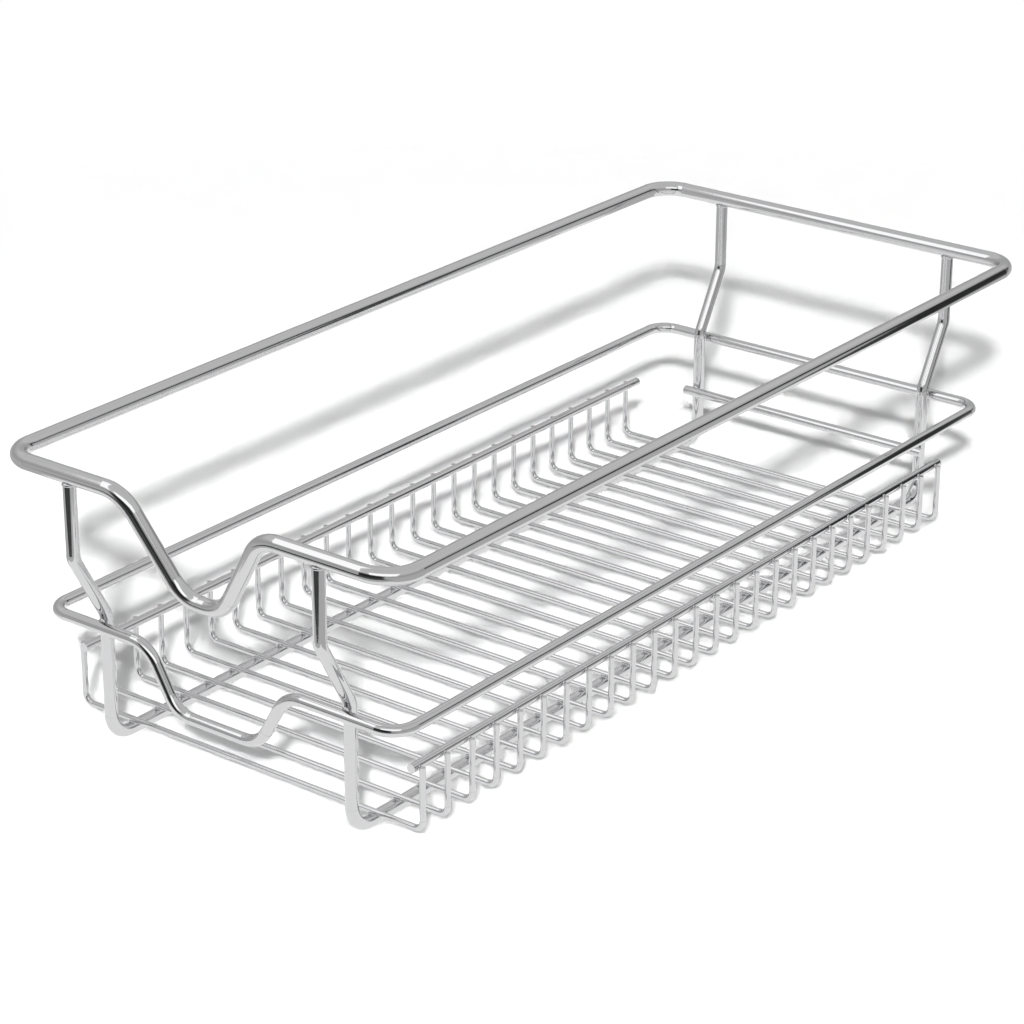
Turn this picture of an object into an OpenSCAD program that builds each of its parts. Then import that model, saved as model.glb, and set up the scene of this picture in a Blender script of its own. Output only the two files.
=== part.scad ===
// Pull-out cabinet basket bent and welded from round chrome-plated steel wire.
// X runs across the basket, -Y is the front with the hand scoop, +Z is up.
// The origin lies under the middle of the basket, on the surface it stands on.
// Every wire is one cold-bent piece. Wires meet at resistance welds, where they
// touch side to side, so each crossing is laid out from the two wire sizes.

/* [Overall] */
// Outer width over the top frame's side bars
basket_width = 210; // [170:1:300]
// Outer depth over the top frame's front and rear bars
basket_depth = 467; // [380:1:560]
// Height from the bottom bars' underside to the top frame's upper side
basket_height = 129; // [115:1:180]

/* [Wire sizes] */
// Diameter of the top frame's wire
top_wire = 7; // [6:0.5:8]
// Diameter of the two stirrups' wire
stirrup_wire = 5.5; // [4:0.5:7]
// Diameter of the mid frame's wire
mid_wire = 5; // [3:0.5:6]
// Diameter of the rear tie bar
tie_wire = 4.5; // [3:0.5:6]
// Diameter of the side rails
rail_wire = 4; // [3:0.5:5]
// Diameter of the floor wires
floor_wire_d = 2.5; // [2:0.1:4]
// Clearance left between two wires at a weld
weld_gap = 0.05; // [0.02:0.01:0.2]
// Swelling of a wire's diameter where it is bent
bend_swell = 0.1; // [0.1:0.02:0.2]

/* [Top frame] */
// Corner bend radius, to the middle of the wire
top_corner_r = 14; // [9:1:22]
// Depth that the hand scoop drops below the bar
scoop_drop = 40.5; // [25:0.5:48]
// Width of the scoop where its legs leave the bar
scoop_mouth = 72; // [56:1:84]
// Width of the scoop where its legs meet its floor
scoop_floor = 21; // [18:1:28]
// Distance that the scoop's floor leans in over the basket
scoop_lean = 6; // [0:0.5:12]
// Bend radius of the scoop, to the middle of the wire
scoop_r = 16; // [8:0.5:17]

/* [Mid frame] */
// Outer width over the mid frame's side bars
mid_width = 191; // [160:0.5:200]
// Height of the mid frame's wire above the standing surface
mid_height = 55.3; // [50:0.1:66]
// Corner bend radius, to the middle of the wire
mid_corner_r = 10; // [7:0.5:18]
// Depth that the front dip drops below the bar
dip_drop = 26.3; // [12:0.1:30]
// Width of the dip where its legs leave the bar
dip_mouth = 74; // [66:1:88]
// Width of the dip where its legs meet its floor
dip_floor = 44; // [30:1:50]
// Bend radius of the dip, to the middle of the wire
dip_r = 14; // [6:0.5:14]

/* [Stirrups] */
// Distance between the two stirrups, middle to middle
stirrup_spacing = 130; // [116:1:140]
// Distance that each upright stands in from the top frame's bar
jog_in = 16.7; // [10:0.1:22]
// Height at which the jog leaves the top frame's line
jog_top = 89; // [80:0.5:96]
// Bend radius of the jog's two bends, to the middle of the wire
jog_r = 9; // [6:0.5:12]
// Bend radius where an upright turns into the bottom bar
foot_r = 10; // [7:0.5:14]

/* [Floor] */
// Outer width over the floor wires' upstands
comb_width = 185; // [160:0.5:200]
// Height of the upstands' ends above the standing surface
upstand_top = 34.2; // [30:0.1:44]
// Bend radius of a floor wire, to the middle of the wire
floor_r = 4; // [3:0.5:8]
// Distance from the front uprights to the first floor wire
first_wire_gap = 11.5; // [10:0.5:20]
// Distance from the last floor wire to the rear uprights
last_wire_gap = 27; // [14:0.5:34]

/* [Side rails and tie bar] */
// Distance that the upstands' ends stand above the rail's middle
rail_below_end = 0.4; // [0.3:0.1:4]
// Length of a rail in front of the first floor wire
rail_front_end = 3; // [1:0.5:8]
// Length of a rail behind the last floor wire
rail_rear_end = 5; // [1:0.5:10]
// Height of the tie bar's middle above the standing surface
tie_height = 28.6; // [24:0.1:44]
// Length of the tie bar outside the middle of each upright
tie_end = 4.3; // [1:0.1:8]

/* [Hidden] */
$fn = 32;

// Number of floor wires
floor_wires = 26;
// Length that a straight stretch runs on inside the bend beside it
run_in = 0.2;
// Colour of bright chrome plating
chrome = [0.80, 0.81, 0.83];

// Half sizes of the top frame, to the middle of its wire
top_x = (basket_width - top_wire - bend_swell) / 2;
top_y = (basket_depth - top_wire - bend_swell) / 2;
top_z = basket_height - (top_wire + bend_swell) / 2;

// The uprights stand in from the top frame, and the mid frame lies against them
stirrup_x = stirrup_spacing / 2;
stirrup_y = top_y - jog_in;
bar_z = (stirrup_wire + bend_swell) / 2;
mid_x = (mid_width - mid_wire - bend_swell) / 2;
mid_y = stirrup_y + (stirrup_wire + mid_wire) / 2 + weld_gap;
mid_z = mid_height;
// The jog starts where the upright clears the mid frame's wire
jog_low = mid_z + mid_wire / 2 + jog_r * tan(jog_angle(jog_top - mid_z - mid_wire / 2) / 2) / 2;
// An upright ends under the top frame's bar
upright_top = top_z - top_wire / 2 - weld_gap;

// The floor wires lie on the bottom bars
floor_z = bar_z + (stirrup_wire + floor_wire_d) / 2 + weld_gap;
comb_x = (comb_width - floor_wire_d - bend_swell) / 2;
first_y = -stirrup_y + first_wire_gap;
last_y = stirrup_y - last_wire_gap;
floor_pitch = (last_y - first_y) / (floor_wires - 1);

// The rails lie inside the upstands, and the tie bar in front of the rear uprights
rail_x = comb_x - (floor_wire_d + rail_wire) / 2 - weld_gap;
rail_z = upstand_top - rail_below_end;
tie_y = stirrup_y - (stirrup_wire + tie_wire) / 2 - weld_gap;

// Angle from upright that a jog of the given height makes
function jog_angle(rise) = atan2(jog_in, rise);

// Unit vector from a to b, the angle between two unit vectors, and Euler angles
// that turn the x, y and z axes onto three given unit vectors, to 0.00001 degree
function unit(a, b) = (b - a) / norm(b - a);
function turn(d, e) = acos(max(-1, min(1, d * e)));
function tidy(angle) = round(angle * 1e5) / 1e5;
function euler(x, y, z) =
    abs(x[2]) > 0.999999
        ? [0, -90 * sign(x[2]), tidy(atan2(-y[0], y[1]))]
        : [tidy(atan2(y[2], z[2])), tidy(asin(-x[2])), tidy(atan2(x[1], x[0]))];
function cyclic(p, i) = p[(i + len(p)) % len(p)];
// Length that a bend takes from the straight on either side of point i
function bend_take(p, r, i) =
    r[i] == 0 ? 0 : r[i] * tan(turn(unit(cyclic(p, i - 1), p[i]), unit(p[i], cyclic(p, i + 1))) / 2);

// A straight length of wire between two points, shortened at both ends for bends
module straight_wire(a, b, d, take_a = 0, take_b = 0) {
    u = unit(a, b);
    cut_a = max(take_a - run_in, 0);
    cut_b = max(take_b - run_in, 0);
    translate(a + u * cut_a)
        rotate([0, tidy(acos(u[2])), tidy(atan2(u[1], u[0]))])
            cylinder(h = norm(b - a) - cut_a - cut_b, d = d);
}

// The bend of radius r at point b of the line a, b, c
module wire_bend(a, b, c, r, d) {
    u = unit(a, b);
    v = unit(b, c);
    angle = turn(u, v);
    inward = (v - u) / norm(v - u);
    centre = b + inward * r / cos(angle / 2);
    start = b - u * r * tan(angle / 2);
    out = (start - centre) / r;
    axis = cross(u, v) / norm(cross(u, v));
    translate(centre)
        rotate(euler(out, u, axis))
            rotate_extrude(angle = angle)
                translate([r, 0])
                    circle(d = d + bend_swell);
}

// An open wire through points p, with bend radius r[i] at each inner point
module open_wire(p, r, d) {
    last = len(p) - 1;
    union() {
        for (i = [0 : last - 1])
            straight_wire(p[i], p[i + 1], d,
                i == 0 ? 0 : bend_take(p, r, i),
                i + 1 == last ? 0 : bend_take(p, r, i + 1));
        for (i = [1 : last - 1])
            wire_bend(p[i - 1], p[i], p[i + 1], r[i], d);
    }
}

// A wire whose two ends are butt-welded, with bend radius r[i] at every point
module closed_wire(p, r, d) {
    last = len(p) - 1;
    union() {
        for (i = [0 : last])
            straight_wire(p[i], cyclic(p, i + 1), d,
                bend_take(p, r, i), bend_take(p, r, (i + 1) % len(p)));
        for (i = [0 : last])
            wire_bend(cyclic(p, i - 1), p[i], cyclic(p, i + 1), r[i], d);
    }
}

// A rectangular frame with a drop bent into its front bar
module dropped_frame(x, y, z, corner, mouth, floor_w, drop, lean, r, d) {
    closed_wire(
        [
            [x, y, z],
            [-x, y, z],
            [-x, -y, z],
            [-mouth / 2, -y, z],
            [-floor_w / 2, -y + lean, z - drop],
            [floor_w / 2, -y + lean, z - drop],
            [mouth / 2, -y, z],
            [x, -y, z]
        ],
        [corner, corner, corner, r, r, r, r, corner],
        d
    );
}

// Thick rim of the basket, with the hand scoop in its front bar
module top_frame() {
    color(chrome)
        dropped_frame(top_x, top_y, top_z, top_corner_r,
            scoop_mouth, scoop_floor, scoop_drop, scoop_lean, scoop_r, top_wire);
}

// Lower guard frame, with a flatter dip under the hand scoop
module mid_frame() {
    color(chrome)
        dropped_frame(mid_x, mid_y, mid_z, mid_corner_r,
            dip_mouth, dip_floor, dip_drop, 0, dip_r, mid_wire);
}

// Carrier wire: front upright, bottom bar and rear upright in one piece
module stirrup(side) {
    x = side * stirrup_x;
    open_wire(
        [
            [x, -top_y, upright_top],
            [x, -top_y, jog_top],
            [x, -stirrup_y, jog_low],
            [x, -stirrup_y, bar_z],
            [x, stirrup_y, bar_z],
            [x, stirrup_y, jog_low],
            [x, top_y, jog_top],
            [x, top_y, upright_top]
        ],
        [0, jog_r, jog_r, foot_r, foot_r, jog_r, jog_r, 0],
        stirrup_wire
    );
}

module left_stirrup() {
    color(chrome) stirrup(-1);
}

module right_stirrup() {
    color(chrome) stirrup(1);
}

// Rail along the inner side of the upstands
module side_rail(side) {
    x = side * rail_x;
    straight_wire([x, first_y - rail_front_end, rail_z],
        [x, last_y + rail_rear_end, rail_z], rail_wire);
}

module left_side_rail() {
    color(chrome) side_rail(-1);
}

module right_side_rail() {
    color(chrome) side_rail(1);
}

// Bar that ties the two rear uprights together
module rear_tie_bar() {
    color(chrome)
        straight_wire([-stirrup_x - tie_end, tie_y, tie_height],
            [stirrup_x + tie_end, tie_y, tie_height], tie_wire);
}

// Cross wire of the floor, turned up at both ends to make the low sides
module floor_wire(count) {
    y = first_y + count * floor_pitch;
    color(chrome)
        open_wire(
            [
                [-comb_x, y, upstand_top],
                [-comb_x, y, floor_z],
                [comb_x, y, floor_z],
                [comb_x, y, upstand_top]
            ],
            [0, floor_r, floor_r, 0],
            floor_wire_d
        );
}

top_frame();
mid_frame();
left_stirrup();
right_stirrup();
left_side_rail();
right_side_rail();
rear_tie_bar();
floor_wire(0);  // floor_wire_01
floor_wire(1);  // floor_wire_02
floor_wire(2);  // floor_wire_03
floor_wire(3);  // floor_wire_04
floor_wire(4);  // floor_wire_05
floor_wire(5);  // floor_wire_06
floor_wire(6);  // floor_wire_07
floor_wire(7);  // floor_wire_08
floor_wire(8);  // floor_wire_09
floor_wire(9);  // floor_wire_10
floor_wire(10);  // floor_wire_11
floor_wire(11);  // floor_wire_12
floor_wire(12);  // floor_wire_13
floor_wire(13);  // floor_wire_14
floor_wire(14);  // floor_wire_15
floor_wire(15);  // floor_wire_16
floor_wire(16);  // floor_wire_17
floor_wire(17);  // floor_wire_18
floor_wire(18);  // floor_wire_19
floor_wire(19);  // floor_wire_20
floor_wire(20);  // floor_wire_21
floor_wire(21);  // floor_wire_22
floor_wire(22);  // floor_wire_23
floor_wire(23);  // floor_wire_24
floor_wire(24);  // floor_wire_25
floor_wire(25);  // floor_wire_26
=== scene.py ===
# %% [markdown]
# # A chrome wire basket for a kitchen cabinet
#
# The basket is bent and welded from round steel wire and then chrome plated. Its 33 wires come from the CAD
# model with their exact shape, so this script doesn't bend them again. It gives them their finish, adds the
# small welds that hold them together, and sets up a white table, reflection cards, soft light and a camera.

import math

import bpy
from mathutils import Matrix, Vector


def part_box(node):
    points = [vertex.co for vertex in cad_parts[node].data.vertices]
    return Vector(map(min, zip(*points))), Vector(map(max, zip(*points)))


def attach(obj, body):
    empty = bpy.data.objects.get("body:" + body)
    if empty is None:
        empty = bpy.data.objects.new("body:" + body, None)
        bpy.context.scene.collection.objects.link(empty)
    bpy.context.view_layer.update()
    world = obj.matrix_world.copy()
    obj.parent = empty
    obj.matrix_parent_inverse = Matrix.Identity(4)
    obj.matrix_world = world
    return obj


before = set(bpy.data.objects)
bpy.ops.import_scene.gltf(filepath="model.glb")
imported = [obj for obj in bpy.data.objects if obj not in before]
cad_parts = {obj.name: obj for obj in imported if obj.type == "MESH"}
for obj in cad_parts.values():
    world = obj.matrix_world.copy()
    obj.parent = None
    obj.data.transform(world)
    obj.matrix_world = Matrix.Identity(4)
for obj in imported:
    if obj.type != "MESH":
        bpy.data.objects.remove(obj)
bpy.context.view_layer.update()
print("wires in the frame:", len(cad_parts))


# %% [markdown]
# Colours are picked as hex values, the way a paint program shows them, which are stored in sRGB. Blender's
# shaders want linear light, so one function turns one into the other. A second small function adds a node to a
# material with its settings and its links, because every finish below is built from such nodes. A third one
# empties the tree that they go into.

# %% Three helpers for finishes
def linear(hex_colour):
    """The linear RGBA colour of an sRGB hex value such as "#DADADB", by the two branches of the sRGB curve."""
    channels = [int(hex_colour[i:i + 2], 16) / 255 for i in (1, 3, 5)]
    return [c / 12.92 if c <= 0.04045 else ((c + 0.055) / 1.055) ** 2.4 for c in channels] + [1.0]


def add(tree, kind, sockets=None, links=None, **settings):
    """Adds a node: settings go on the node, sockets are input values, links join inputs to nodes' outputs."""
    node = tree.nodes.new(kind)
    for name, value in settings.items():
        setattr(node, name, value)
    for name, value in (sockets or {}).items():
        node.inputs[name].default_value = value
    for name, output in (links or {}).items():
        tree.links.new(output, node.inputs[name])
    return node


def new_tree(owner):
    """Turns an owner's nodes on and returns its empty node tree."""
    owner.use_nodes = True
    owner.node_tree.nodes.clear()
    return owner.node_tree


# %% [markdown]
# Bright chrome is a thin, hard mirror over nickel, nearly neutral and about 70% bright. It isn't a perfect
# mirror: the drawn steel below it has faint ripples a millimetre or two long, and polishing leaves patches that
# are slightly duller. So a metal shader gets a low roughness that wanders over some 6 mm, and a very weak bump
# at 1.5 mm, which breaks up the long reflections that would otherwise look ruled.

# %% The chrome finish
MM = 0.001
WHITE = linear("#FFFFFF")
CHROME = linear("#DADADB")
# Distance over which the polish changes
PATCH = 6 * MM
# Most values of a noise texture lie between these two
NOISE_LOW, NOISE_HIGH = 0.3, 0.7


def plated(name, roughness_from, roughness_to, bump_height, bump_size):
    """A chrome finish, rougher and smoother in soft patches, with bumps of a height and a size in metres."""
    material = bpy.data.materials.new(name)
    tree = new_tree(material)
    place = add(tree, "ShaderNodeTexCoord").outputs["Object"]
    patches = add(tree, "ShaderNodeTexNoise", {"Scale": 1 / PATCH, "Detail": 2.0}, {"Vector": place})
    roughness = add(tree, "ShaderNodeMapRange",
                    {"From Min": NOISE_LOW, "From Max": NOISE_HIGH, "To Min": roughness_from, "To Max": roughness_to},
                    {"Value": patches.outputs["Fac"]})
    ripple = add(tree, "ShaderNodeTexNoise", {"Scale": 1 / bump_size, "Detail": 3.0}, {"Vector": place})
    bump = add(tree, "ShaderNodeBump", {"Strength": 1.0, "Distance": bump_height},
               {"Height": ripple.outputs["Fac"]})
    metal = add(tree, "ShaderNodeBsdfPrincipled", {"Base Color": CHROME, "Metallic": 1.0},
                {"Roughness": roughness.outputs["Result"], "Normal": bump.outputs["Normal"]})
    add(tree, "ShaderNodeOutputMaterial", None, {"Surface": metal.outputs["BSDF"]})
    return material


bright_chrome = plated("bright_chrome_plate", roughness_from=0.05, roughness_to=0.12,
                       bump_height=0.01 * MM, bump_size=1.5 * MM)
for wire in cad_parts.values():
    wire.data.materials.clear()
    wire.data.materials.append(bright_chrome)
print("finish:", bright_chrome.name, "on", len(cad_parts), "wires")


# %% [markdown]
# The wires are spot welded. Two crossing wires are squeezed together under current until their touching spot
# melts, which leaves a small flat pad of metal between them. Seen close, it fills the narrow gap beside the
# touching point. One pad is made from a ball: it is squashed along the line that joins the two wires, and its
# points are shifted a little at random, since no weld is even.

# %% One weld pad
PAD_SEGMENTS, PAD_RINGS = 14, 8
# How far a pad's points are shifted, as a share of its thinnest half
UNEVEN = 0.06


def clear_selection():
    """Leaves nothing selected, so that the next operator acts on its own piece only."""
    if bpy.context.mode != "OBJECT":
        bpy.ops.object.mode_set(mode="OBJECT")
    bpy.ops.object.select_all(action="DESELECT")


def weld_pad(name, size, seed):
    """One weld pad at the origin, size being its half lengths along X, Y and Z in metres."""
    clear_selection()
    bpy.ops.mesh.primitive_uv_sphere_add(segments=PAD_SEGMENTS, ring_count=PAD_RINGS, radius=1.0)
    pad = bpy.context.object
    pad.name = name
    bpy.ops.object.mode_set(mode="EDIT")
    bpy.ops.mesh.select_all(action="SELECT")
    bpy.ops.transform.resize(value=size)
    bpy.ops.transform.vertex_random(offset=UNEVEN * min(size), seed=seed)
    bpy.ops.object.mode_set(mode="OBJECT")
    bpy.ops.object.shade_smooth()
    return pad


# %% [markdown]
# Welds of one kind are joined into one piece, because nobody handles them one by one. The plating is duller on
# them than on drawn wire: melted metal freezes with a finely wrinkled skin, and no polishing disc reaches it.

# %% Welds of one kind
plated_weld = plated("chrome_plated_weld", roughness_from=0.12, roughness_to=0.28,
                     bump_height=0.06 * MM, bump_size=0.5 * MM)


def weld_group(name, size, spots):
    """One piece with a weld pad at each spot, joined and riding on the basket."""
    pads = []
    for number, spot in enumerate(spots):
        pad = weld_pad(f"{name}_{number}", size, number + 1)
        pad.location = spot
        pads.append(pad)
    clear_selection()
    for pad in pads:
        pad.select_set(True)
    bpy.context.view_layer.objects.active = pads[0]
    bpy.ops.object.join()
    group = bpy.context.object
    group.name = name
    bpy.ops.object.transform_apply(location=True, rotation=True, scale=True)
    group.data.materials.append(plated_weld)
    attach(group, "root")
    print(name, "has", len(spots), "welds")


# %% [markdown]
# Every weld's place is read from the wires themselves. A floor wire crosses both bottom bars and is held again
# near its two ends by the side rails, so it has four welds.

# %% Floor welds
SIDES = (-1, 1)
FLOOR_PAD = (1.6 * MM, 1.0 * MM, 0.5 * MM)
RAIL_PAD = (0.5 * MM, 1.0 * MM, 1.2 * MM)
# Height at which the floor wires touch the bottom bars
FLOOR_UNDERSIDE = 5.6 * MM


def middle(node):
    """The middle of a wire's box."""
    low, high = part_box(node)
    return (low + high) / 2


floor_wires = sorted(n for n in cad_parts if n.startswith("floor_wire_"))
rows = [middle(n).y for n in floor_wires]
bar_x = middle("right_stirrup").x
bar_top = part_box("right_stirrup")[0].z + FLOOR_UNDERSIDE
rail_low, rail_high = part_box("right_side_rail")
rail_z = (rail_low.z + rail_high.z) / 2
weld_group("floor_welds", FLOOR_PAD, [(side * bar_x, y, bar_top) for y in rows for side in SIDES])
weld_group("rail_welds", RAIL_PAD, [(side * rail_high.x, y, rail_z) for y in rows for side in SIDES])

# %% [markdown]
# The four uprights carry both frames. Their tops butt against the rim from below, where the melted metal stands
# out as a collar, and they touch the guard frame and the tie bar side by side.

# %% Frame welds
RIM_COLLAR = (3.2 * MM, 3.2 * MM, 1.3 * MM)
GUARD_BEAD = (2.1 * MM, 0.8 * MM, 2.6 * MM)
TIE_BEAD = (2.1 * MM, 0.8 * MM, 2.4 * MM)
UPRIGHT_RADIUS = 2.75 * MM
GUARD_RADIUS = 2.55 * MM
# How far an upright's foot stands in from its top
JOG_IN = 16.7 * MM

upright_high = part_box("right_stirrup")[1]
rim_y = upright_high.y - UPRIGHT_RADIUS
leg_y = rim_y - JOG_IN
guard_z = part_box("mid_frame")[1].z - GUARD_RADIUS
tie_z = middle("rear_tie_bar").z
weld_group("rim_welds", RIM_COLLAR,
           [(sx * bar_x, sy * rim_y, upright_high.z) for sx in SIDES for sy in SIDES])
weld_group("guard_welds", GUARD_BEAD,
           [(sx * bar_x, sy * (leg_y + UPRIGHT_RADIUS), guard_z) for sx in SIDES for sy in SIDES])
weld_group("tie_welds", TIE_BEAD, [(sx * bar_x, leg_y - UPRIGHT_RADIUS, tie_z) for sx in SIDES])


# %% [markdown]
# The table and the world look plain white wherever they are seen directly or in a reflection, but must light the
# basket by less than that. One value tells the two kinds of ray apart.

# %% A helper for what is seen directly
def seen_directly(tree):
    """A value that is 1 for rays of the camera and of reflections, and 0 for the rays that only carry light."""
    rays = add(tree, "ShaderNodeLightPath")
    seen = add(tree, "ShaderNodeMath", None,
               {0: rays.outputs["Is Camera Ray"], 1: rays.outputs["Is Glossy Ray"]}, operation="ADD")
    seen = add(tree, "ShaderNodeMath", None,
               {0: seen.outputs[0], 1: rays.outputs["Is Transmission Ray"]}, operation="ADD", use_clamp=True)
    return seen.outputs[0]


# %% [markdown]
# The basket stands on a sheet of white opal acrylic that has no edge in the picture. Light spreads a little way
# inside the sheet before it comes out again, so the shadows of the thin floor wires run together into an even
# grey, while the wide shadow of the rim stays. Further out the sheet turns to plain white for the camera and in
# reflections, which keeps the background even without any more light on the basket.

# %% The white table
OPAL = linear("#FEFEFE")
TABLE_SIZE = 12.0
# Distance that light travels inside the sheet
SPREAD = 12 * MM
# Distances from the basket's middle: shadows are kept up to the first, plain white starts at the second
SHADOW_REACH = 0.50
WHITE_FROM = 0.75

clear_selection()
bpy.ops.mesh.primitive_plane_add(size=TABLE_SIZE)
table = bpy.context.object
table.name = "white_table"
opal = bpy.data.materials.new("opal_acrylic_sheet")
tree = new_tree(opal)
place = add(tree, "ShaderNodeTexCoord").outputs["Object"]
distance = add(tree, "ShaderNodeVectorMath", None, {0: place}, operation="LENGTH").outputs["Value"]
far = add(tree, "ShaderNodeMapRange", {"From Min": SHADOW_REACH, "From Max": WHITE_FROM}, {"Value": distance})
far = add(tree, "ShaderNodeMath", None, {0: far.outputs["Result"], 1: seen_directly(tree)}, operation="MULTIPLY")
sheet = add(tree, "ShaderNodeSubsurfaceScattering",
            {"Color": OPAL, "Scale": SPREAD, "Radius": (1.0, 1.0, 1.0)}, falloff="BURLEY")
plain = add(tree, "ShaderNodeEmission", {"Color": WHITE, "Strength": 1.0})
both = add(tree, "ShaderNodeMixShader", None,
           {0: far.outputs[0], 1: sheet.outputs["BSSRDF"], 2: plain.outputs["Emission"]})
add(tree, "ShaderNodeOutputMaterial", None, {"Surface": both.outputs["Shader"]})
table.data.materials.append(opal)
print("table:", table.name, "with light spreading over", round(SPREAD / MM), "mm")


# %% [markdown]
# Chrome shows what stands around it, so a photographer shapes it with cards, which here are seen by reflections
# only. A card has one brightness and can fade out towards its edges, as a lit panel does, so that the highlights
# it draws on the wires have soft ends.

# %% The finish of a card
# The middle of a card in its own UV map, which runs from 0 to 1 both ways
UV_MIDDLE = 0.5


def shining(name, brightness, fade=0.0):
    """A stage finish of one brightness, 1 being white, that fades out over a share of the card at its edges."""
    material = bpy.data.materials.new(name)
    tree = new_tree(material)
    glow = add(tree, "ShaderNodeEmission", {"Color": WHITE, "Strength": brightness})
    surface = glow.outputs["Emission"]
    if fade:
        place = add(tree, "ShaderNodeTexCoord").outputs["UV"]
        place = add(tree, "ShaderNodeVectorMath", {1: (UV_MIDDLE, UV_MIDDLE, 0.0)}, {0: place},
                    operation="SUBTRACT")
        place = add(tree, "ShaderNodeVectorMath", None, {0: place.outputs[0]}, operation="ABSOLUTE")
        place = add(tree, "ShaderNodeSeparateXYZ", None, {0: place.outputs[0]})
        off_middle = add(tree, "ShaderNodeMath", None, {0: place.outputs["X"], 1: place.outputs["Y"]},
                         operation="MAXIMUM")
        cover = add(tree, "ShaderNodeMapRange",
                    {"From Min": UV_MIDDLE - fade, "From Max": UV_MIDDLE, "To Min": 1.0, "To Max": 0.0},
                    {"Value": off_middle.outputs[0]}, interpolation_type="SMOOTHSTEP")
        clear = add(tree, "ShaderNodeBsdfTransparent")
        mix = add(tree, "ShaderNodeMixShader", None,
                  {0: cover.outputs["Result"], 1: clear.outputs["BSDF"], 2: surface})
        surface = mix.outputs["Shader"]
    add(tree, "ShaderNodeOutputMaterial", None, {"Surface": surface})
    return material


def reflection_card(card, name, material):
    """Names a card and hides it from everything but reflections."""
    bpy.ops.object.transform_apply(location=True, rotation=True, scale=True)
    card.name = name
    card.data.materials.append(material)
    card.visible_camera = card.visible_diffuse = card.visible_shadow = False
    print("card:", name)


# %% [markdown]
# Low on the wires the table is what shows, and in reflections it is painted. Close to the basket a pale card
# is a painted reflection of the lit table. Further away a grey card is painted shade for the table's light
# falling off, which gives each wire's underside a darker edge. That card is a large plane with a hole for the
# pale part: its face is inset and deleted, and the ring around it stays.

# %% Painted shade card around the basket
# The cards that lie on the table are this far above it
SKIM = 0.5 * MM
# Half the width and half the depth of the pale part, and how far the grey one reaches beyond it
TABLE_HALF = (0.19, 0.33)
SURROUND = 3.0
# The grey card's brightness is painted shade: the table's reflection where its light falls off
SURROUND_SHADE = 0.52

clear_selection()
bpy.ops.mesh.primitive_plane_add(size=2.0, location=(0, 0, SKIM))
surround = bpy.context.object
bpy.ops.object.mode_set(mode="EDIT")
bpy.ops.mesh.select_all(action="SELECT")
bpy.ops.transform.resize(value=(SURROUND + TABLE_HALF[0], SURROUND + TABLE_HALF[1], 1.0))
bpy.ops.mesh.inset(thickness=SURROUND)
bpy.ops.mesh.delete(type="FACE")
bpy.ops.object.mode_set(mode="OBJECT")
# The ring is painted shade, a darker sheet seen in reflections where the table is less lit
reflection_card(surround, "shaded_table_reflection", shining("shaded_table_reflection_paper", SURROUND_SHADE))


# %% [markdown]
# Flat cards do the rest. A bright panel at the front left draws the long highlights along the bars, and a wide
# one behind the camera lights the wires that face it. The black cards at the front and at the right rear draw
# the black streaks without which chrome looks like grey paint.

# %% Flat cards
def flat_card(name, brightness, size, location, tilt=0.0, turn=0.0, fade=0.0):
    """A card of a width and a height, lying flat, then tilted about X and turned about Z by degrees."""
    clear_selection()
    bpy.ops.mesh.primitive_plane_add(size=1.0, location=location,
                                     rotation=(math.radians(tilt), 0, math.radians(turn)))
    card = bpy.context.object
    card.scale = (*size, 1.0)
    reflection_card(card, name, shining(name + "_paper", brightness, fade))


flat_card("bright_panel", 1.35, (0.36, 1.08), (-0.455, -0.475, 0.725), tilt=27.3, fade=0.14)
flat_card("bright_front_panel", 1.35, (2.70, 1.00), (0.665, -1.37, 1.14), tilt=53.1, turn=25.9, fade=0.15)
# The pale card is a painted reflection of the lit table close to the basket, which keeps the table's real shadows out
# of the wires' reflections
flat_card("lit_table_reflection", 0.95, (2 * TABLE_HALF[0], 2 * TABLE_HALF[1]), (0, 0, SKIM))
flat_card("dark_front_floor", 0.06, (0.75, 0.53), (0.07, -0.685, 2 * SKIM))
flat_card("black_front", 0.02, (1.05, 0.56), (0.07, -0.95, 0.22), tilt=90, fade=0.2)
flat_card("black_rear_corner", 0.03, (0.16, 0.30), (0.21, 0.315, 0.10), tilt=66, fade=0.3)
flat_card("dark_rear_strip", 0.04, (1.60, 0.50), (1.03, 1.42, 0.52), tilt=90, turn=-36, fade=0.3)

# %% [markdown]
# A grey tent over everything gives the wires their quiet grey tops. It is a half ball whose grey changes with
# height, since a real one is lit from below by the table and from above by the lamps, and is darkest in between.

# %% Tent
TENT_RADIUS = 2.2
TENT_SEGMENTS, TENT_RINGS = 48, 24
# Heights, as shares of the tent's own, and the grey at each
TENT_GREYS = ((0.00, 0.50), (0.20, 0.42), (0.36, 0.46), (0.49, 0.56), (0.59, 0.66), (0.85, 0.62))

clear_selection()
bpy.ops.mesh.primitive_uv_sphere_add(segments=TENT_SEGMENTS, ring_count=TENT_RINGS, radius=TENT_RADIUS)
tent = bpy.context.object
bpy.ops.object.mode_set(mode="EDIT")
bpy.ops.mesh.select_all(action="SELECT")
bpy.ops.mesh.bisect(plane_co=(0, 0, 0), plane_no=(0, 0, 1), clear_inner=True)
bpy.ops.object.mode_set(mode="OBJECT")
cloth = bpy.data.materials.new("grey_tent_cloth")
tree = new_tree(cloth)
place = add(tree, "ShaderNodeTexCoord").outputs["Object"]
height = add(tree, "ShaderNodeSeparateXYZ", None, {0: place}).outputs["Z"]
share = add(tree, "ShaderNodeMapRange", {"From Min": 0.0, "From Max": TENT_RADIUS}, {"Value": height})
greys = add(tree, "ShaderNodeValToRGB", None, {"Fac": share.outputs["Result"]})
stops = greys.color_ramp.elements
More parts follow.
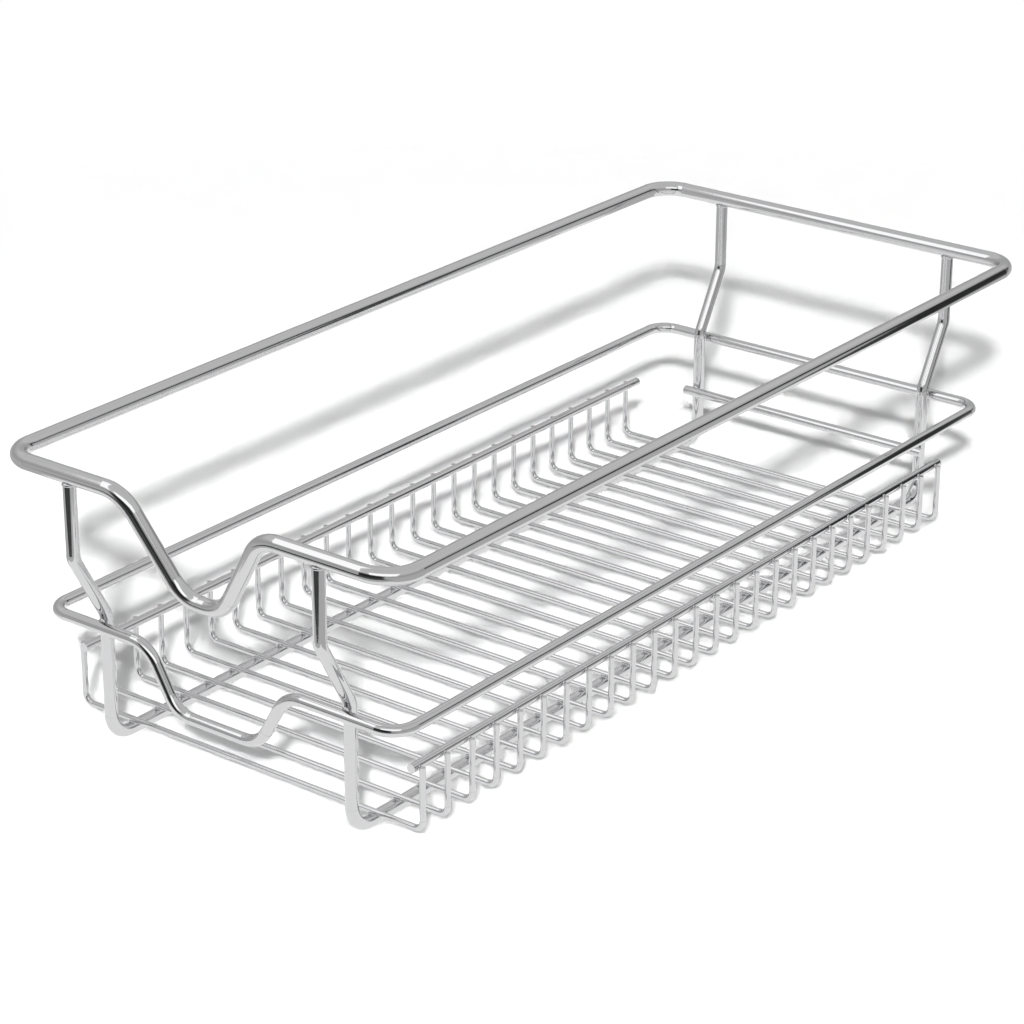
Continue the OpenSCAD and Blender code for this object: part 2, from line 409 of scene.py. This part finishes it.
for number, (stop, grey) in enumerate(TENT_GREYS):
    element = stops[number] if number < len(stops) else stops.new(stop)
    element.position = stop
    element.color = (grey, grey, grey, 1.0)
glow = add(tree, "ShaderNodeEmission", {"Strength": 1.0}, {"Color": greys.outputs["Color"]})
add(tree, "ShaderNodeOutputMaterial", None, {"Surface": glow.outputs["Emission"]})
reflection_card(tent, "grey_tent", cloth)

# %% [markdown]
# One soft lamp stands behind the camera and well above it. It is near, so the shadows of the front and of the
# rear spread apart on the table, as in the photograph. Its light keeps its strength over distance, so the table
# is evenly white. Reflections leave the lamp out, because on the small bends it would be a row of glaring dots,
# and the bright front panel stands in for it.

# %% Lamp
LAMP_WIDTH = 0.17
LAMP_STRENGTH = 16.9
LAMP_PLACE = (1.350, -1.969, 1.500)
LAMP_TARGET = (0, 0, 0.05)

lamp_data = bpy.data.lights.new("softbox", "AREA")
lamp_data.shape = "DISK"
lamp_data.size = LAMP_WIDTH
lamp_data.energy = 1.0
tree = new_tree(lamp_data)
falloff = add(tree, "ShaderNodeLightFalloff", {"Strength": LAMP_STRENGTH})
shine = add(tree, "ShaderNodeEmission", None, {"Strength": falloff.outputs["Constant"]})
add(tree, "ShaderNodeOutputLight", None, {"Surface": shine.outputs["Emission"]})
lamp = bpy.data.objects.new("softbox", lamp_data)
bpy.context.scene.collection.objects.link(lamp)
lamp.location = LAMP_PLACE
lamp.rotation_euler = (Vector(lamp.location) - Vector(LAMP_TARGET)).to_track_quat("Z", "Y").to_euler()
lamp.visible_glossy = False
print("lamp:", lamp.name, "at", LAMP_PLACE)

# %% [markdown]
# The room around the table is plain white to the eye and in reflections. As light it is much weaker and comes
# from everywhere, so it only fills the shadows.

# %% The room
FILL = 0.25

world = bpy.data.worlds.new("white_room")
bpy.context.scene.world = world
tree = new_tree(world)
strength = add(tree, "ShaderNodeMapRange", {"To Min": FILL, "To Max": 1.0}, {"Value": seen_directly(tree)})
sky = add(tree, "ShaderNodeBackground", {"Color": WHITE}, {"Strength": strength.outputs["Result"]})
add(tree, "ShaderNodeOutputWorld", None, {"Surface": sky.outputs["Background"]})
print("room:", world.name, "with fill light", FILL)

# %% [markdown]
# The camera stands where the photograph's stood. Its place, turn and lens come from fitting a camera to the
# straight wires of the photograph: 38 degrees round to the right and 23 degrees down.

# %% Camera
SENSOR_WIDTH, LENS = 36.0, 111.64
CAMERA_PLACE = (0.7800, -1.04295, 0.60689)
CAMERA_DEGREES = (66.819, -0.190, 37.592)

camera_data = bpy.data.cameras.new("camera")
camera_data.sensor_width = SENSOR_WIDTH
camera_data.lens = LENS
camera = bpy.data.objects.new("camera", camera_data)
bpy.context.scene.collection.objects.link(camera)
camera.location = CAMERA_PLACE
camera.rotation_euler = [math.radians(a) for a in CAMERA_DEGREES]
bpy.context.scene.camera = camera
bpy.context.scene.view_settings.view_transform = "Standard"
print("camera: a", LENS, "mm lens at", CAMERA_PLACE)
